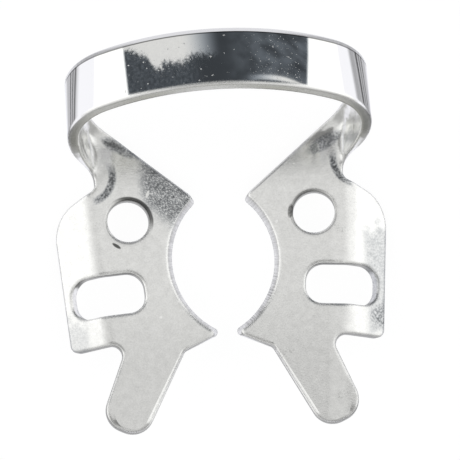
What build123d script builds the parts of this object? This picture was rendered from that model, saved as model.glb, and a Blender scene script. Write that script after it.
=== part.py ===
from build123d import *
from math import atan2, cos, degrees, radians, sin, sqrt
import os

# Rubber dam clamp, millimetres and degrees.
# One piece of polished spring steel sheet: a leaning bow runs through two folded necks into two flat jaws.
# It is laid out with the jaw faces near the XY plane and the bow towards +Y, then laid down as it rests.

# Sheet
sheet = 0.75
edge_round = 0.14

# Bow, measured on its outside along the lean
bow_width = 20.0
bow_height = 11.35
bow_lean = 16.0
bow_foot_y = 8.46
band_width = 4.25
crown_radius = 15.0
shoulder_radius = 4.8

# Jaw arcs and prongs, with the gaps between the prongs' points before they are rounded
jaw_opening = 6.5
jaw_arc_radius = 5.25
jaw_arc_y = 0.63
jaw_bevel = 0.47
jaw_dip = 5.0
rear_prong_gap = 2.8
front_prong_gap = 0.1
rear_edge_angle = 39.4
prong_round = 0.3

# Necks, from their line on the jaw up to the bow
neck_rear_x = 5.6
neck_front_y = 7.0
neck_inset = 0.1
neck_rear_bend = 1.2
neck_middle_bend = 3.3
neck_front_bend = 0.9
neck_rear_drop = 2.2
neck_middle_drop = 4.4
neck_front_drop = 2.6

# Side wings, bent down along a line that toes in towards the front
wing_toe = 5.0
wing_bend_x = 7.85
wing_bend_radius = 1.0
wing_angle = 34.0
wing_flange = 2.33
wing_front = 4.28
wing_rear = 6.4
wing_rear_slope = 26.0
wing_front_round = 0.55
wing_rear_round = 2.6
notch_round = 0.6

# Front wings
front_wing_x = 4.59
front_wing_y = -4.71
front_wing_splay = 24.7
front_wing_length = 6.6
front_wing_root = 3.8
front_wing_tip = 3.1
front_wing_round = 1.45
front_notch_round = 0.68
prong_root_round = 0.5

# Forceps holes and slots
hole_x = 6.2
hole_y = 3.4
hole_diameter = 2.8
slot_y = -0.9
slot_width = 2.7
slot_inner_x = 5.45
slot_flange = 1.7
slot_round = 1.15
slot_round_limit = 0.49

# Reach of cutting shapes past the sheet, least angle of an edge to round, and fineness of the resting test
overcut = 0.5
sharp_angle = 30.0
facet = 0.01


def heading(angle):
    """Unit vector in the jaw plane, at an angle from +X."""
    return Vector(cos(radians(angle)), sin(radians(angle)), 0)


def crossing(point_a, way_a, point_b, way_b):
    """Point in the jaw plane where two lines cross, each given by a point and a direction."""
    turn = way_a.X * way_b.Y - way_a.Y * way_b.X
    gap = point_b - point_a
    return point_a + way_a * ((gap.X * way_b.Y - gap.Y * way_b.X) / turn)


def on_jaw_arc(x, side):
    """Point of the jaw arc's lower edge at a given x, on its rear (+1) or front (-1) half."""
    rise = sqrt(jaw_arc_radius**2 - (x - jaw_arc.X) ** 2)
    return Vector(x, jaw_arc.Y + side * rise, 0)


def wing_section(start_x, flange, above, below):
    """Section across a side wing: flat, bend and flange, between levels above and below the top face."""
    centre = Vector(wing_bend_x, 0, -(wing_bend_radius + sheet))
    outward = Vector(cos(radians(wing_angle)), 0, -sin(radians(wing_angle)))
    top = wing_bend_radius + sheet + above
    low = wing_bend_radius + sheet - below

    def spoke(angle, radius):
        return centre + Vector(sin(radians(angle)), 0, cos(radians(angle))) * radius

    top_end = spoke(wing_angle, top) + outward * flange
    low_end = spoke(wing_angle, low) + outward * flange
    outline = [
        Line((start_x, 0, above), spoke(0, top)),
        ThreePointArc(spoke(0, top), spoke(wing_angle / 2, top), spoke(wing_angle, top)),
        Line(spoke(wing_angle, top), top_end),
        Line(top_end, low_end),
        Line(low_end, spoke(wing_angle, low)),
        ThreePointArc(spoke(wing_angle, low), spoke(wing_angle / 2, low), spoke(0, low)),
        Line(spoke(0, low), (start_x, 0, -below)),
        Line((start_x, 0, -below), (start_x, 0, above)),
    ]
    return make_face(outline)


def sheet_patch(inner, outer):
    """Solid between two nets of control points, each with rows along the sheet and columns across it."""
    rear = [[row_in[0], row_out[0]] for row_in, row_out in zip(inner, outer)]
    front = [[row_in[-1], row_out[-1]] for row_in, row_out in zip(inner, outer)]
    faces = [Face.make_bezier_surface(net) for net in (inner, outer, rear, front)]
    for end in (0, -1):
        corners = [inner[end][0], inner[end][-1], outer[end][-1], outer[end][0]]
        faces.append(Face(Wire.make_polygon(corners)))
    return Solid(Shell(faces))


def sharp_edges(body, least_angle):
    """Edges where two faces meet at more than a given angle."""
    normals = {}
    for face in body.faces():
        for edge in face.edges():
            normals.setdefault(edge, []).append(face.normal_at(edge @ 0.5))
    return ShapeList(edge for edge, pair in normals.items() if pair[0].get_angle(pair[-1]) > least_angle)


def through(first, middle, last):
    """Control point that takes a quadratic curve from first to last through a given middle."""
    return middle * 2 - (first + last) / 2


def turns_down(one, two, three):
    """Whether a path through three points, each a (y, z) pair, fails to turn upwards at the second."""
    return (two[0] - one[0]) * (three[1] - one[1]) <= (two[1] - one[1]) * (three[0] - one[0])


# Jaw plan: prongs, neck line, side wing and front wing of the right half
jaw_arc = Vector(jaw_opening / 2 - jaw_arc_radius, jaw_arc_y, 0)
rear_tip = on_jaw_arc(rear_prong_gap / 2, 1)
front_tip = on_jaw_arc(front_prong_gap / 2, -1)
rear_way = heading(rear_edge_angle)
neck_rear = rear_tip + rear_way * ((neck_rear_x - rear_tip.X) / rear_way.X)

wing_way = heading(-wing_toe)
along_bend = heading(90 - wing_toe)
neck_side = wing_way * (wing_bend_x - neck_inset)
neck_front = neck_side + along_bend * neck_front_y
wing_reach = wing_bend_x + wing_bend_radius + sheet + wing_flange + overcut
rear_line = along_bend * wing_rear
wing_rear_way = heading(-wing_toe - wing_rear_slope)
front_line = along_bend * -wing_front

front_wing_way = heading(front_wing_splay - 90)
front_wing_across = heading(front_wing_splay)
root = Vector(front_wing_x, front_wing_y, 0)
tip = root + front_wing_way * front_wing_length
root_inner = root - front_wing_across * (front_wing_root / 2)
root_outer = root + front_wing_across * (front_wing_root / 2)
tip_inner = tip - front_wing_across * (front_wing_tip / 2)
tip_outer = tip + front_wing_across * (front_wing_tip / 2)
front_way = (root_inner - front_tip).normalized()

corners = [
    (jaw_arc, 0),
    (rear_tip - rear_way * overcut, 0),
    (neck_rear, 0),
    (neck_front, 0),
    (neck_side + rear_line, notch_round),
    (neck_side + rear_line + wing_rear_way * wing_reach, 0),
    (front_line + wing_way * wing_reach, 0),
    (crossing(front_line, wing_way, tip_outer, tip_outer - root_outer), front_notch_round),
    (tip_outer, front_wing_round),
    (tip_inner, front_wing_round),
    (root_inner, prong_root_round),
    (front_tip - front_way * overcut, 0),
]
plan = make_face(FilletPolyline([point for point, _ in corners], radius=[r for _, r in corners], close=True))

# Jaw sheet: bent along the side wing, flat ahead of where the front wing's edge crosses the bend line
run = front_wing_length + wing_front + wing_rear
toe = Rotation(0, 0, -wing_toe)
bend_line = wing_way * wing_bend_x
front_flat = crossing(bend_line, along_bend, tip_outer, tip_outer - root_outer).dot(along_bend)
blank_start = jaw_arc.X - jaw_arc_radius
bent = extrude(wing_section(blank_start, wing_flange, 0, sheet), amount=run, dir=(0, 1, 0))
flat_width = wing_reach - blank_start
flat = Pos(blank_start, 0, -sheet) * Box(flat_width, run, sheet, align=(Align.MIN, Align.MAX, Align.MIN))
jaw = toe * Pos(0, front_flat, 0) * (bent + flat)
jaw &= Pos(0, 0, -wing_reach) * extrude(plan, amount=2 * wing_reach)

wing_out = wing_way * cos(radians(wing_angle)) - Vector(0, 0, sin(radians(wing_angle)))
for end, rounding in ((0, wing_front_round), (-1, wing_rear_round)):
    wing_edge = jaw.faces().sort_by(Axis((0, 0, 0), wing_out))[-1]
    wing_corner = wing_edge.edges().sort_by(Axis((0, 0, 0), along_bend))[end]
    jaw = fillet(wing_corner, rounding)

# Forceps hole, and the slot across the wing's bend
jaw -= Pos(hole_x, hole_y, 0) * Cylinder(hole_diameter / 2, 2 * (sheet + overcut))
slot_section = wing_section(slot_inner_x, slot_flange, overcut, sheet + overcut)
slot = extrude(slot_section, amount=slot_width / 2, both=True)
slot_normal = Vector(sin(radians(wing_angle)), 0, cos(radians(wing_angle)))
slot_corners = slot.edges().filter_by(Axis.Z) + slot.edges().filter_by(Axis((0, 0, 0), slot_normal))
slot = fillet(slot_corners, min(slot_round, slot_round_limit * slot_width))
jaw -= toe * Pos(0, slot_y, 0) * slot

# Ground jaw arc, wider at the top face, and blunted prongs
bevel_slope = jaw_bevel / sheet
low_radius = jaw_arc_radius - bevel_slope * overcut
top_radius = jaw_arc_radius + bevel_slope * (sheet + overcut)
grinder = Cone(low_radius, top_radius, sheet + 2 * overcut)
jaw -= Pos(jaw_arc.X, jaw_arc.Y, -sheet / 2) * grinder
for point, way in ((rear_tip, rear_way), (front_tip, front_way)):
    middle = point + way * (jaw_bevel / 2) - Vector(0, 0, sheet / 2)
    prong_edge = min(jaw.edges(), key=lambda edge: (edge.center() - middle).length)
    jaw = fillet(prong_edge, prong_round)

# The whole jaw dips towards the tooth
dip = Pos(hole_x, 0, 0) * Rotation(0, -jaw_dip, 0) * Pos(-hole_x, 0, 0)
jaw = dip * jaw

# Bow: crown and shoulder arcs in the leaning plane, given the band's width
lean = Vector(0, sin(radians(bow_lean)), cos(radians(bow_lean)))
bow_plane = Plane((0, bow_foot_y, 0), (1, 0, 0), (0, -cos(radians(bow_lean)), sin(radians(bow_lean))))
crown_centre = bow_height - crown_radius
shoulder_x = bow_width / 2 - shoulder_radius
shoulder_rise = sqrt((crown_radius - shoulder_radius) ** 2 - shoulder_x**2)
leg_top = crown_centre + shoulder_rise
turn = degrees(atan2(shoulder_rise, shoulder_x))
arch = []
for inset in (0, sheet):
    arch.append(CenterArc((0, crown_centre), crown_radius - inset, turn, 180 - 2 * turn))
    arch.append(CenterArc((shoulder_x, leg_top), shoulder_radius - inset, 0, turn))
    arch.append(CenterArc((-shoulder_x, leg_top), shoulder_radius - inset, 180 - turn, turn))
for side in (-1, 1):
    arch.append(Line((side * bow_width / 2, leg_top), (side * (bow_width / 2 - sheet), leg_top)))
bow = extrude(bow_plane * make_face(arch), amount=band_width / 2, both=True)

# Neck: the sheet folds from the jaw face up into the bow's leg, bending last and hardest at its middle
neck_lines = [
    (neck_rear, rear_way, neck_rear_bend, neck_rear_drop),
    ((neck_rear + neck_front) / 2, (rear_way + along_bend).normalized(), neck_middle_bend, neck_middle_drop),
    (neck_front, along_bend, neck_front_bend, neck_front_drop),
]
neck_places = (-band_width / 2, 0, band_width / 2)
quarter_reach = 4 / 3 * (sqrt(2) - 1)


def neck_net(depth):
    """Control points of the neck at a depth below the jaw's top face, reaching as for a quarter circle."""
    reach = quarter_reach * depth
    rows = [[], [], [], []]
    for place, (foot, way, bend, drop) in zip(neck_places, neck_lines):
        foot -= Vector(0, 0, depth)
        leg = bow_plane.from_local_coords((bow_width / 2 - sheet + depth, leg_top, place))
        rows[0].append((dip * Pos(foot)).position)
        rows[1].append((dip * Pos(foot + way * (bend + reach))).position)
        rows[2].append(leg - lean * (drop + reach))
        rows[3].append(leg)
    return [[rear, through(rear, middle, front), front] for rear, middle, front in rows]


neck = sheet_patch(neck_net(0), neck_net(sheet))

# Both halves joined, with every edge of the sheet rounded
half = [jaw, neck]
clamp = bow.fuse(*half, *[mirror(piece, Plane.YZ) for piece in half])
clamp = fillet(sharp_edges(clamp, sharp_angle), edge_round)

# Laid down: seen from the side, it rests on the edge of its lower hull that lies under its centre of mass
corners, _ = clamp.tessellate(facet)
hull = []
for y, z in sorted({(corner.Y, corner.Z) for corner in corners}):
    while len(hull) > 1 and turns_down(hull[-2], hull[-1], (y, z)):
        hull.pop()
    hull.append((y, z))
balance = clamp.center(CenterOf.MASS)
for (y1, z1), (y2, z2) in zip(hull, hull[1:]):
    along, rise = y2 - y1, z2 - z1
    share = ((balance.Y - y1) * along + (balance.Z - z1) * rise) / (along**2 + rise**2)
    if 0 < share < 1:
        pitch = degrees(atan2(rise, along))
        break
clamp = Rotation(-pitch, 0, 0) * clamp
box = clamp.bounding_box()
clamp = Pos(0, -box.center().Y, -box.min.Z) * clamp
clamp.label = "clamp"

os.makedirs("parts", exist_ok=True)
export_step(clamp, "parts/clamp.step")
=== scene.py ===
from math import cos, degrees, pi, radians, sin, tan

import bmesh
import bpy
from mathutils import Matrix, Vector
from mathutils.bvhtree import BVHTree


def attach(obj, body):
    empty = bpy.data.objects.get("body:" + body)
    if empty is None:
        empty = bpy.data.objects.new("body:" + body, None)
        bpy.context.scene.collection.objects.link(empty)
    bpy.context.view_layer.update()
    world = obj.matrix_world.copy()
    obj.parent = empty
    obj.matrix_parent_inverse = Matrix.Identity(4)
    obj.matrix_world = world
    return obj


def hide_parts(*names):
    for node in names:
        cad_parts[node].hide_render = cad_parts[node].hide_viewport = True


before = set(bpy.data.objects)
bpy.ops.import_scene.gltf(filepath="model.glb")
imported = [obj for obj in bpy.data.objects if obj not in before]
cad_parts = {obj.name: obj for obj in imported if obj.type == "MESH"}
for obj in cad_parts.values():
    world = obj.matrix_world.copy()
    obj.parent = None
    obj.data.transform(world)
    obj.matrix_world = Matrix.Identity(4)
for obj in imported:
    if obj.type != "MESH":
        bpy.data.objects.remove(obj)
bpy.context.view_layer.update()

# The clamp is one strip of stainless spring steel, stamped, folded and then tumbled and polished.
# The sheet keeps its form from the frame; a welded copy carries the finish, because its shading runs on
# across the seams between the faces, as one polished surface does.
mm = 0.001
sheet_thickness = 0.75 * mm
weld_distance = 1e-7
flat_angle = radians(1.0)


def welded_copy(node, name):
    """Copy a node with its seams welded. Each point takes the normal of the widest flat that meets there."""
    mesh = node.data.copy()
    mesh.name = name
    shell = bmesh.new()
    shell.from_mesh(mesh)
    bmesh.ops.remove_doubles(shell, verts=shell.verts, dist=weld_distance)
    flat_area = {}
    for first in shell.faces:
        first.smooth = True
        if first in flat_area:
            continue
        flat, fresh = {first}, [first]
        while fresh:
            for edge in fresh.pop().edges:
                if edge.calc_face_angle(pi) < flat_angle:
                    found = [face for face in edge.link_faces if face not in flat]
                    flat.update(found)
                    fresh.extend(found)
        flat_area.update(dict.fromkeys(flat, sum(face.calc_area() for face in flat)))
    normals = []
    for vert in shell.verts:
        normal = Vector()
        for face in vert.link_faces:
            normal += face.normal * (flat_area[face] / mm**2) ** 2 * face.calc_area()
        normals.append(normal.normalized())
    shell.to_mesh(mesh)
    shell.free()
    mesh.normals_split_custom_set_from_vertices(normals)
    piece = bpy.data.objects.new(name, mesh)
    bpy.context.scene.collection.objects.link(piece)
    return piece


clamp = welded_copy(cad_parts["clamp"], "polished_clamp")
clamp.data.materials.clear()

# A cut edge is told from the sheet's faces by how much metal lies behind it.
edge_thin = 1.5 * sheet_thickness
edge_thick = 2.1 * sheet_thickness
skin = 0.01 * mm


def cut_edges(piece, thin, thick):
    """Mark each point by the depth of metal behind it: 0 on the sheet's faces, 1 on its cut edges."""
    mesh = piece.data
    tree = BVHTree.FromPolygons([v.co for v in mesh.vertices], [p.vertices for p in mesh.polygons])
    mark = mesh.attributes.new("cut_edge", "FLOAT", "POINT")
    for vertex in mesh.vertices:
        start = vertex.co - vertex.normal * skin
        depth = tree.ray_cast(start, -vertex.normal)[3] or thin
        mark.data[vertex.index].value = min(max((depth - thin) / (thick - thin), 0), 1)


cut_edges(clamp, edge_thin, edge_thick)


class Wire:
    """A shader socket that can be written into sums: each operator adds its own Math node."""

    def __init__(self, tree, socket=None):
        self.tree = tree
        self.socket = socket

    def node(self, kind, settings=(), sockets=(), out=0):
        """Add a node of this kind, with its settings first and then the values or links of its sockets."""
        made = self.tree.nodes.new(kind)
        for setting, value in dict(settings).items():
            setattr(made, setting, value)
        for key, value in dict(sockets).items():
            if isinstance(value, Wire):
                self.tree.links.new(value.socket, made.inputs[key])
            else:
                made.inputs[key].default_value = value
        return Wire(self.tree, made.outputs[out] if made.outputs else None)

    def maths(self, operation, *values):
        return self.node("ShaderNodeMath", {"operation": operation}, dict(enumerate(values)))

    def __add__(self, other):
        return self.maths("ADD", self, other)

    __radd__ = __add__

    def __mul__(self, other):
        return self.maths("MULTIPLY", self, other)

    __rmul__ = __mul__

    def __sub__(self, other):
        return self.maths("SUBTRACT", self, other)

    def __rsub__(self, other):
        return self.maths("SUBTRACT", other, self)

    def __abs__(self):
        return self.maths("ABSOLUTE", self)

    def parts(self):
        """The three components of a vector."""
        split = self.node("ShaderNodeSeparateXYZ", {}, {0: self}).socket.node
        return [Wire(self.tree, split.outputs[axis]) for axis in range(3)]

    def vector(self, *values):
        """A vector of up to three components."""
        return self.node("ShaderNodeCombineXYZ", {}, dict(enumerate(values)))

    def scaled(self, factor):
        """A vector or colour times a value."""
        sockets = {0: self, "Scale": factor}
        return self.node("ShaderNodeVectorMath", {"operation": "SCALE"}, sockets, out="Vector")

    def mixed(self, share, none, whole):
        """A colour between the one for a share of 0 and the one for a share of 1."""
        return self.node("ShaderNodeMix", {"data_type": "RGBA"}, {0: share, 6: none, 7: whole}, out=2)

    def length(self, across):
        """The long side of a right triangle with these two short sides."""
        return self.maths("SQRT", self * self + across * across)

    def held(self, low, high):
        """The value, held between low and high."""
        return self.node("ShaderNodeClamp", {}, {"Value": self, "Min": low, "Max": high})

    def noise(self, scale, detail):
        """Noise between 0 and 1 with about so many waves to a unit of length."""
        return self.node("ShaderNodeTexNoise", {}, {"Vector": self, "Scale": scale, "Detail": detail})

    def rises(self, low, high):
        """0 at low, 1 at high and a smooth step between them."""
        limits = {"Value": self, "From Min": low, "From Max": high}
        return self.node("ShaderNodeMapRange", {"interpolation_type": "SMOOTHSTEP"}, limits)

    def within(self, low, high, soft):
        """1 from low to high, fading out over soft on each side."""
        return self.rises(low - soft, low) * (1 - self.rises(high, high + soft))


# From here to the shader, lengths are millimetres. A pair is where a mask starts and where it is full,
# and a third number is how far it fades. A noise is its scale and detail.
steel = bpy.data.materials.new("polished_steel")
steel.use_nodes = True
steel.node_tree.nodes.clear()
wire = Wire(steel.node_tree)
point = wire.node("ShaderNodeTexCoord", out="Object").scaled(1 / mm)
x, y, z = point.parts()
side = abs(x)
edge = wire.node("ShaderNodeAttribute", {"attribute_name": "cut_edge"}, out="Fac")
grain = point.noise(9.0, 2.0)
pitting = point.noise(2.2, 3.0)
fine = point.noise(7.0, 3.0)

# The bow's band is mirror smooth and a little full across its width, and its rear rim falls away.
band_tilt = radians(26.81)
band_middle, band_half, band_curve = -5.117, 2.125, 0.005
band_border = (band_half + 0.3, band_half)
bow_foot = (4.5, 6.0)
bow_rise, bow_front = (3.0, 5.5), (-1.0, 0.0)
rim_start, rim_slope = 1.8, 0.45
rim_line, rim_line_dark = (-rim_start, -rim_start + 0.06, 0.04), 0.7
rim_face, rim_face_dark = (-rim_start, -rim_start - 0.05), 0.12
band = y * -cos(band_tilt) + z * sin(band_tilt) - band_middle
on_bow = z.rises(*bow_foot) * abs(band).rises(*band_border)
off_bow = 1 - on_bow
low_down = 1 - z.rises(*bow_rise) * y.rises(*bow_front)
crown = band * band * -band_curve * on_bow
rim_fall = wire.maths("MAXIMUM", band * -1 - rim_start, 0.0) * rim_slope * on_bow
# Painted shade along the rear rim: a thin dark line where it starts to fall, standing for a dark reflection,
# and a greyer face beyond it.
rim_shade = 1 - (band.within(*rim_line) * rim_line_dark + band.rises(*rim_face) * rim_face_dark) * on_bow

# Dust lies on the bow's face, the finer of it mostly on the right.
speck_noise, speck_size = (9.0, 1.0), (0.66, 0.74)
speck_right, speck_left = (0.5, 3.0), 0.12
crumb_noise, crumb_size = (4.0, 1.0), (0.71, 0.75)
dusty_x, dusty_band = (-6.4, 5.0, 0.3), (-1.7, -1.6)
dust = point.noise(*speck_noise).rises(*speck_size) * (speck_left + x.rises(*speck_right) * (1 - speck_left))
dust = (dust + point.noise(*crumb_noise).rises(*crumb_size)) * x.within(*dusty_x) * band.rises(*dusty_band)

# The right wing's bend starts gently in the jaw, as rolled sheet does.
bend_side, bend_toe, bend_reach, bend_slope = 8.0, 0.0875, 0.9, 0.2
bend_rear, right_half = (4.2, 2.6), (-1.0, 1.0)
bend_in = (side - y * bend_toe - bend_side + bend_reach).held(0.0, 2 * bend_reach)
bend_fall = bend_in * bend_in * (bend_reach - bend_in * (1 / 3)) * (bend_slope / bend_reach**2)
bend_fall = bend_fall * y.rises(*bend_rear) * low_down * x.rises(*right_half)

# The front wings have a narrow flat ground along their inner edges and round their tips.
tip_out_x, tip_out_y, tip_axis, tip_end = 0.872, 0.490, 0.13, 13.35
tip_flat_from, tip_flat_wide, tip_flat_slope = 1.15, 0.2, 0.55
tip_inner_side, tip_root = (1.3, -0.6), (-7.4, -7.9)
off_tip = side * tip_out_x + y * tip_out_y - tip_axis
past_tip = wire.maths("MAXIMUM", side * tip_out_y - y * tip_out_x - tip_end, 0.0)
tip_rim = (off_tip.length(past_tip) - tip_flat_from).held(0.0, tip_flat_wide)
tip_fall = tip_rim * tip_flat_slope * off_tip.rises(*tip_inner_side) * y.rises(*tip_root)

# The necks' insides are a little uneven from folding, and every edge is rolled by tumbling.
fold_rise, fold_front = (1.1, 1.7), (4.0, 5.0)
uneven_noise, uneven_depth = (1.6, 1.0), 0.04
uneven_top, uneven_side = (5.0, 3.0), (9.8, 9.4)
grain_depth = 0.004
edge_roll, edge_samples = 0.32 * mm, 6
in_fold = z.rises(*fold_rise) * y.rises(*fold_front) * off_bow
uneven = point.noise(*uneven_noise) * in_fold * z.rises(*uneven_top) * side.rises(*uneven_side) * uneven_depth
relief = crown - rim_fall - bend_fall - tip_fall + uneven + grain * off_bow * grain_depth
rolled = wire.node("ShaderNodeBevel", {"samples": edge_samples}, {"Radius": edge_roll}, out="Normal")
bent = wire.node("ShaderNodeBump", {}, {"Strength": 1.0, "Distance": mm, "Height": relief, "Normal": rolled})

# The jaw arcs have a ground bevel, with the marks of the wheel running across it.
arc_x, arc_y, arc_edge, arc_soft, arc_stretch = -2.0, -1.676, 5.74, 0.03, 1.04
arc_top = (3.6, 4.0)
wheel_turns, wheel_drift = 60, 0.7
wheel_noise, wheel_steps = (1.0, 3.0), (0.35, 0.65)
wheel_dark, wheel_right_dark = 0.2, 0.35
wheel_right, wheel_front = (1.0, 2.0), (-2.0, -5.0)
arc_across, arc_along = side - arc_x, y - arc_y
arc_angle = wire.maths("ARCTAN2", arc_along, arc_across)
arc_radius = wire.maths("SQRT", arc_across * arc_across + arc_along * arc_along * arc_stretch)
ground = (1 - arc_radius.rises(arc_edge - arc_soft, arc_edge + arc_soft)) * (1 - z.rises(*arc_top))
wheel = wire.vector(arc_angle * wheel_turns, arc_radius * wheel_drift, x).noise(*wheel_noise)
wheel_shade = wheel_dark + x.rises(*wheel_right) * y.rises(*wheel_front) * wheel_right_dark
arc_shade = 1 - ground * wheel.rises(*wheel_steps) * wheel_shade

# Marks on the jaws are placed from above. A spot is its middle, half length, half width and angle,
# and a ring is its middle, radius and half width.
spot_rim = (1.2, 0.4)
ring_core = 0.4


def spot(middle_x, middle_y, half_long, half_wide, angle):
    """1 inside an ellipse on the jaws, seen from above, fading out at its rim."""
    off_x, off_y = x - middle_x, y - middle_y
    long = (off_x * cos(radians(angle)) + off_y * sin(radians(angle))) * (1 / half_long)
    wide = (off_y * cos(radians(angle)) - off_x * sin(radians(angle))) * (1 / half_wide)
    return (long * long + wide * wide).rises(*spot_rim) * low_down


def ring(middle_x, middle_y, radius, half_wide):
    """1 along a circle on the jaws, seen from above, fading out on both sides of it."""
    off = (x - middle_x).length(y - middle_y) - radius
    return abs(off).rises(half_wide, ring_core * half_wide) * low_down


# The left rear prong carries a painted dark reflection, streaked with light scratches, with one small spot
# left bright.
prong_x, prong_y = -1.4, 2.32
rear_x, rear_y = 0.778, 0.628
prong_patch_front, prong_patch_rear = (1.7, 3.1), (0.12, 0.25)
prong_patch_left, prong_patch_right = (-5.7, -4.6), (0.0, -1.0)
scratch_long, scratch_wide = 7, 16
scratch_noise, scratch_steps = (1.0, 4.0), (0.4, 0.7)
prong_patch_dark, scratch_bright, prong_patch_uneven = 0.78, 0.72, 0.7
prong_patch_gap = (-4.83, 2.85, 0.3, 0.1, 70)
along_rear = (x - prong_x) * -rear_x + (y - prong_y) * rear_y
off_rear = (x - prong_x) * -rear_y + (y - prong_y) * -rear_x
painted_prong_reflection = (1 - off_rear.rises(*prong_patch_front)) * off_rear.rises(*prong_patch_rear) * (1 - ground) * low_down
painted_prong_reflection = painted_prong_reflection * x.rises(*prong_patch_left) * x.rises(*prong_patch_right)
scratches = wire.vector(along_rear * scratch_long, off_rear * scratch_wide).noise(*scratch_noise)
# Tone of the painted reflection on the prong: dark, lighter along the scratches and uneven with the pitting.
scale = prong_patch_dark - scratches.rises(*scratch_steps) * scratch_bright - (pitting - 0.5) * prong_patch_uneven

# Painted dark reflections lie in the folds at the necks, speckled, in a patch and a crease on each side.
left_patch, right_patch, patch_share = (-6.45, 6.05, 1.5, 0.5, -28), (7.2, 5.75, 1.4, 0.5, 28), 0.7
left_crease, left_crease_x, left_crease_y = (-8.9, 4.25, 1.8, 0.34), (-8.6, -8.2), (2.9, 4.2, 1.0)
right_crease, right_crease_x, right_crease_y = (9.5, 4.6, 1.8, 0.3), (9.1, 8.7), (3.3, 4.4, 1.0)
fold_dark, fold_speckle, fold_steps = 0.88, 0.5, (0.35, 0.65)
painted_fold_reflections = (spot(*left_patch) + spot(*right_patch)) * patch_share
painted_fold_reflections = painted_fold_reflections + ring(*left_crease) * x.rises(*left_crease_x) * y.within(*left_crease_y)
painted_fold_reflections = painted_fold_reflections + ring(*right_crease) * x.rises(*right_crease_x) * y.within(*right_crease_y)
# Both painted dark reflections together, with one small spot on the prong left bright.
painted_dark_reflections = painted_prong_reflection * scale + painted_fold_reflections * (fold_dark - fine.rises(*fold_steps) * fold_speckle)
painted_dark_reflections = painted_dark_reflections * (1 - spot(*prong_patch_gap))

# The outer ends of the side wings are darker, with ragged borders.
ragged_noise, ragged_reach = (1.2, 3.0), 3.0
wing_end_right_x, wing_end_right_y = (9.8, 12.0, 0.7), (-6.9, -0.8, 1.0)
wing_end_left_x, wing_end_left_y, wing_end_left_share = (-12.0, -9.5, 0.5), (-8.5, -5.6, 0.8), 0.6
wing_end_dark, wing_end_fine, wing_end_pitting = 0.3, 0.6, 0.5
wing_end_patch, wing_end_patch_steps, wing_end_patch_dark = (10.5, -6.0, 1.0, 0.8, 20), (0.3, 0.7), 0.35
ragged = y + (point.noise(*ragged_noise) - 0.5) * ragged_reach
darker_wing_ends = x.within(*wing_end_right_x) * ragged.within(*wing_end_right_y)
darker_wing_ends = darker_wing_ends + x.within(*wing_end_left_x) * ragged.within(*wing_end_left_y) * wing_end_left_share
darker_wing_ends = darker_wing_ends * (wing_end_dark + (fine - 0.5) * wing_end_fine + (pitting - 0.5) * wing_end_pitting)
darker_wing_ends = darker_wing_ends + spot(*wing_end_patch) * fine.rises(*wing_end_patch_steps) * wing_end_patch_dark

# Painted dark reflections ring the forceps holes, darkest towards the bow, and a thin painted dark line runs
# along the necks' edge.
hole_x, hole_y = 6.23, 1.05
left_rim, left_rim_lean, left_rim_rear, left_rim_dark = (1.58, 0.17), 0.8, (-3.6, -2.4), 0.75
right_rim, right_rim_rear, right_rim_dark = (1.53, 0.12), (-5.0, -3.2), 0.45
rim_least = 0.05
hole_line, hole_line_dark = (1.46, 0.07), 0.3
neck_line, neck_line_y, neck_line_dark = (0.19, 0.22, 0.05), (3.0, 4.4, 0.5), 0.3
left_rear = (x * left_rim_lean + y).rises(*left_rim_rear) * left_rim_dark
right_rear = (y - x).rises(*right_rim_rear) * right_rim_dark
off_neck = (side + prong_x) * rear_y - (y - prong_y) * rear_x
painted_rim_reflections = ring(-hole_x, hole_y, *left_rim) * (rim_least + left_rear)
painted_rim_reflections = painted_rim_reflections + ring(hole_x, hole_y, *right_rim) * (rim_least + right_rear)
painted_rim_reflections = painted_rim_reflections + (ring(-hole_x, hole_y, *hole_line) + ring(hole_x, hole_y, *hole_line)) * hole_line_dark
painted_rim_reflections = painted_rim_reflections + off_neck.within(*neck_line) * y.within(*neck_line_y) * low_down * neck_line_dark

# A few small nicks and smudges, and a few painted glints
nick, nick_dark = (-7.08, -0.51, 0.36, 0.12, -35), 0.85
burr, burr_dark, burr_speckle = (4.66, 1.25, 0.5, 0.2, 80), 0.7, 1.45
smudges = [(7.9, -0.08, 0.6, 0.3, -35), (3.7, -8.2, 0.7, 0.3, 20), (7.4, -11.1, 0.6, 0.3, 20)]
smudge_noise, smudge_steps, smudge_dark = (8.0, 3.0), (0.47, 0.7), 0.22
glints = [(3.7, 0.6, 0.1, 0.1, 0), (5.1, 4.4, 0.1, 0.1, 0), (-4.4, -5.4, 0.1, 0.1, 0)]
glint_bright = 0.18
flecks = point.noise(*smudge_noise).rises(*smudge_steps)
marks_and_glints = spot(*nick) * nick_dark + spot(*burr) * (burr_speckle - fine) * burr_dark
for place in smudges:
    marks_and_glints = marks_and_glints + spot(*place) * flecks * smudge_dark
for place in glints:
    marks_and_glints = marks_and_glints - spot(*place) * glint_bright

# Rolled sheet is faintly mottled. A painted highlight lightens the folds, and painted shade darkens both ends
# of the jaws.
mottle_grain, mottle_pitting = 0.25, 0.25
painted_fold_highlight = 0.18
front_end, rear_end, end_dark = (-3, -9), (2.5, 4.5), 0.1
mottle_and_painted_light = 1 + ((grain - 0.5) * mottle_grain + (pitting - 0.5) * mottle_pitting) * off_bow
painted_end_shade = (y.rises(*front_end) + y.rises(*rear_end) * low_down) * end_dark
mottle_and_painted_light = mottle_and_painted_light * (1 + in_fold * painted_fold_highlight) * (1 - painted_end_shade * off_bow)

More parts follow.
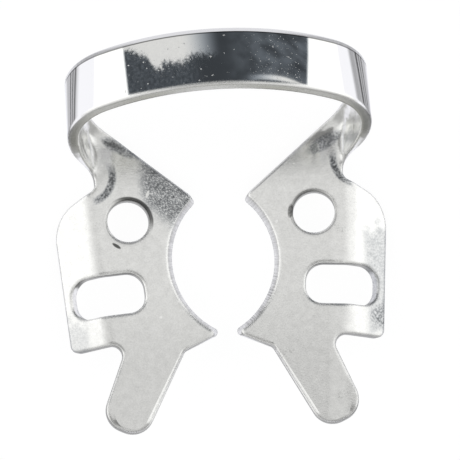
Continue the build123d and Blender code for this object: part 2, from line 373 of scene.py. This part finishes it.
# Cut edges stay duller than the faces. Painted shade darkens them more outside the necks, in the walls of the
# slots and along the jaws.
neck_side, neck_rear, neck_edge_dark, neck_edge_speckle = (8.0, 11.0), (4.0, 6.0), 0.9, 0.7
slot_rear, slot_side, slot_dark = (-2.4, -1.4, 0.2), (5.0, 10.5, 0.3), 0.5
slot_end, slot_end_y, slot_end_dark = (-9.2, -9.8), (-5.0, -1.6, 0.2), 0.3
slot_end_steps, slot_end_speckle = (0.3, 0.7), 0.4
jaw_rear, jaw_edge_dark = (5.0, 4.0), 0.35
painted_neck_edge_shade = side.rises(*neck_side) * y.rises(*neck_rear) * (neck_edge_dark - fine * neck_edge_speckle)
painted_end_wall_shade = slot_end_dark + fine.rises(*slot_end_steps) * slot_end_speckle
painted_wall_shade = y.within(*slot_rear) * side.within(*slot_side) * slot_dark
painted_wall_shade = painted_wall_shade + x.rises(*slot_end) * y.within(*slot_end_y) * painted_end_wall_shade
edge_shade = (1 - edge * painted_neck_edge_shade) * (1 - edge * painted_wall_shade)
edge_shade = edge_shade * (1 - edge * low_down * y.rises(*jaw_rear) * jaw_edge_dark)

# Polished steel, with a bluer cast in the painted dark reflections and on the darker wing ends
steel_colour = (0.85, 0.85, 0.83, 1.0)
edge_colour = (0.60, 0.60, 0.56, 1.0)
dark_patch_colour = (0.80, 0.84, 0.88, 1.0)
jaw_rough, bow_smoother, dust_rough = 0.16, 0.13, 0.5
ground_rough, edge_rough, fold_rough = 0.1, 0.2, 0.04
shade = (1 - painted_dark_reflections) * (1 - darker_wing_ends) * (1 - painted_rim_reflections) * (1 - marks_and_glints) * arc_shade * rim_shade * mottle_and_painted_light * edge_shade
plain = wire.mixed(edge, steel_colour, edge_colour)
colour = wire.mixed(painted_dark_reflections + darker_wing_ends, plain, dark_patch_colour).scaled(shade)
rough = jaw_rough - on_bow * (bow_smoother - dust * dust_rough)
rough = rough + ground * ground_rough + edge * edge_rough + in_fold * fold_rough
finish = wire.node(
    "ShaderNodeBsdfPrincipled",
    {},
    {"Base Color": colour, "Metallic": 1.0, "Roughness": rough, "Normal": bent},
)
wire.node("ShaderNodeOutputMaterial", {}, {"Surface": finish})
clamp.data.materials.append(steel)
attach(clamp, "root")
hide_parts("clamp")

# The floor is a plain white table, which keeps a faint shadow under the clamp.
# The steel sees it as white below and beyond the clamp, with pale streaks between.
floor_size = 2.0
table_colour = (0.95, 0.95, 0.95, 1.0)
white = (1.0, 1.0, 1.0, 1.0)
table_tint = (0.97, 0.97, 1.03, 1.0)
table_white, table_middle, table_far, table_streaks = 1.06, 1.0, 1.15, 0.8
middle_reach = (14, 11)
far_reach, far_shift = (20.5, 27.0), 3.5
streak_noise, streak_steps, streak_least = (7.0, 3.0), (0.3, 0.7), 0.1
camera_share, glossy_share = 0.88, 0.95
floor_mesh = bpy.data.meshes.new("floor")
half = floor_size / 2
corners = [(-half, -half, 0), (half, -half, 0), (half, half, 0), (-half, half, 0)]
floor_mesh.from_pydata(corners, [], [(0, 1, 2, 3)])
floor = bpy.data.objects.new("floor", floor_mesh)
bpy.context.scene.collection.objects.link(floor)
table = bpy.data.materials.new("white_table")
table.use_nodes = True
table.node_tree.nodes.clear()
wire = Wire(table.node_tree)
path = wire.node("ShaderNodeLightPath").socket.node
camera_ray = Wire(table.node_tree, path.outputs["Is Camera Ray"])
glossy_ray = Wire(table.node_tree, path.outputs["Is Glossy Ray"])
x = wire.node("ShaderNodeTexCoord", out="Object").scaled(1 / mm).parts()[0]
reach = wire.maths("LOGARITHM", abs(x) + streak_least, 2.0)
streaks = wire.vector(reach).noise(*streak_noise).rises(*streak_steps)
far = abs(x - far_shift).rises(*far_reach)
middle = abs(x).rises(*middle_reach)
table_seen = (streaks * table_streaks * (1 - far) + far * table_far) * (1 - middle) + middle * table_middle
seen = camera_ray * table_white + (1 - camera_ray) * table_seen
tone = wire.mixed(camera_ray, table_tint, white).scaled(seen)
matt = wire.node("ShaderNodeBsdfDiffuse", {}, {"Color": table_colour})
glow = wire.node("ShaderNodeEmission", {}, {"Color": tone})
glow_share = camera_ray * camera_share + glossy_ray * glossy_share
shown = wire.node("ShaderNodeMixShader", {}, {0: glow_share, 1: matt, 2: glow})
wire.node("ShaderNodeOutputMaterial", {}, {"Surface": shown})
floor_mesh.materials.append(table)

# A white tent with two soft boxes at the sides lights the clamp. A dark opening in its back, with a pale view
# low on its left, gives the polished bow its dark band, and the camera's own opening is dark overhead.
# Angles are degrees: the height is above the floor, and the turn is from straight behind to the right.
world = bpy.data.worlds.new("tent")
bpy.context.scene.world = world
world.use_nodes = True
world.node_tree.nodes.clear()
wire = Wire(world.node_tree)
across, along, up = wire.node("ShaderNodeTexCoord", out="Generated").parts()
height = wire.maths("ARCSINE", up) * degrees(1)
turn = wire.maths("ARCTAN2", across, along) * degrees(1)
side = abs(turn)

# The height that the bow's band reflects falls away towards both of its ends.
band_height, band_drop, band_skew = 33.15, 0.0088, 0.017
above_band = height - band_height + turn * turn * band_drop - turn * band_skew

# Dark opening, whose sides lean a little
back_left, back_right = -40.3, 43.2
back_low, back_high, back_soft = -4.0, 50.0, 3.0
lean_most, lean_left, lean_right = 3.0, 0.5, 0.1
border = 0.8
lean = above_band.held(-lean_most, lean_most)
left_border = (turn - back_left + lean * lean_left).rises(-border, 0.0)
right_border = (back_right - lean * lean_right - turn).rises(0.0, border)
in_back = left_border * right_border
dark = in_back * height.within(back_low, back_high, back_soft)

# Pale view on the left of the opening, above a ragged skyline
leaf_noise, leaf_reach, band_stretch = (0.9, 4.0), 2.8, 6
skyline_low = -3.0
skyline_slope, skyline_climb = (-41, -29), 2.4
skyline_tree, skyline_tree_high = (-29.5, -26.5, 1.5), 1.2
skyline_step, skyline_step_high = (-28, -24), 0.7
skyline_dip, skyline_dip_low = (-18, -8), 1.1
view_soft, view_right, view_light = 0.12, (-15, 5), 0.72
bearing = wire.vector(turn, above_band * band_stretch)
leaves = bearing.noise(*leaf_noise)
skyline = skyline_low + turn.rises(*skyline_slope) * skyline_climb
skyline = skyline + turn.within(*skyline_tree) * skyline_tree_high
skyline = skyline + turn.rises(*skyline_step) * skyline_step_high
skyline = skyline - turn.rises(*skyline_dip) * skyline_dip_low
skyline = skyline + (leaves - 0.5) * leaf_reach
view = (skyline - above_band).rises(-view_soft, view_soft) * (1 - turn.rises(*view_right))

# Faint light in the opening: leaves on its left, haze and a low strip on its right
back_light, back_least = 0.12, 0.45
leaf_steps, leaf_right, leaf_light = (0.4, 0.7), (-5, -15), 0.8
haze_noise, haze_steps, haze_left, haze_light = (0.12, 4.0), (0.3, 0.7), (0, 30), 0.9
strip_height, strip_left, strip_light = (1.4, 1.8, 0.12), (14, 34), 0.8
leafy = leaves.rises(*leaf_steps) * turn.rises(*leaf_right)
haze = bearing.noise(*haze_noise).rises(*haze_steps) * turn.rises(*haze_left)
strip = above_band.within(*strip_height) * turn.rises(*strip_left)
back = back_light * (back_least + leafy * leaf_light + haze * haze_light)
back = back + view * view_light + strip * strip_light

# Soft boxes at both sides, a dimmer front, and the camera's opening overhead
sky = 0.81
box_light = 0.5
box_front, box_foot, box_fade = (105.0, 111.0), (-18.0, -12.0), (20.0, 66.0)
front_turn, front_height, front_dim = (95, 125), (50, 20), 0.4
lens = Vector((-0.049, -0.025, 0.9985))
lens_border, lens_dim = (17.5, 20.5), 0.68
boxes = (1 - in_back) * (1 - side.rises(*box_front)) * height.rises(*box_foot) * (1 - height.rises(*box_fade))
front = side.rises(*front_turn) * height.rises(*front_height) * front_dim
lens_angle = wire.maths("ARCCOSINE", across * lens.x + along * lens.y + up * lens.z) * degrees(1)
opening = 1 - lens_angle.rises(*lens_border)
level = (sky + boxes * box_light) * (1 - front) * (1 - dark) + back * dark
level = level * (1 - opening * lens_dim)

# The camera itself sees plain white.
back_tint = (0.88, 1.0, 1.16, 1.0)
camera_ray = wire.node("ShaderNodeLightPath", out="Is Camera Ray")
seen = camera_ray + level * (1 - camera_ray)
tint = wire.mixed(dark * (1 - view) * (1 - strip), white, back_tint).scaled(seen)
shine = wire.node("ShaderNodeBackground", {}, {"Color": tint})
wire.node("ShaderNodeOutputWorld", {}, {"Surface": shine})

# The camera looks straight down on the clamp as it lies, a little from the left and the front.
camera_target = Vector((0.53, 0.17, 1.88)) * mm
camera_distance = 250 * mm
camera_field = 30.67 * mm
camera_left = radians(2.8)
camera_front = radians(1.4)
camera_roll = radians(3.0)
camera_near, camera_far = 1 * mm, 10.0
sensor = 36.0
camera = bpy.data.objects.new("camera", bpy.data.cameras.new("camera"))
bpy.context.scene.collection.objects.link(camera)
camera.data.sensor_width = sensor
camera.data.lens = sensor * camera_distance / camera_field
camera.data.clip_start = camera_near
camera.data.clip_end = camera_far
backward = Vector((-tan(camera_left), -tan(camera_front), 1)).normalized()
upward = Vector((sin(camera_roll), cos(camera_roll), 0))
right = upward.cross(backward).normalized()
upward = backward.cross(right)
place = camera_target + backward * camera_distance
camera.matrix_world = Matrix.Translation(place) @ Matrix((right, upward, backward)).transposed().to_4x4()
bpy.context.scene.camera = camera

bpy.context.scene.view_settings.view_transform = "Standard"
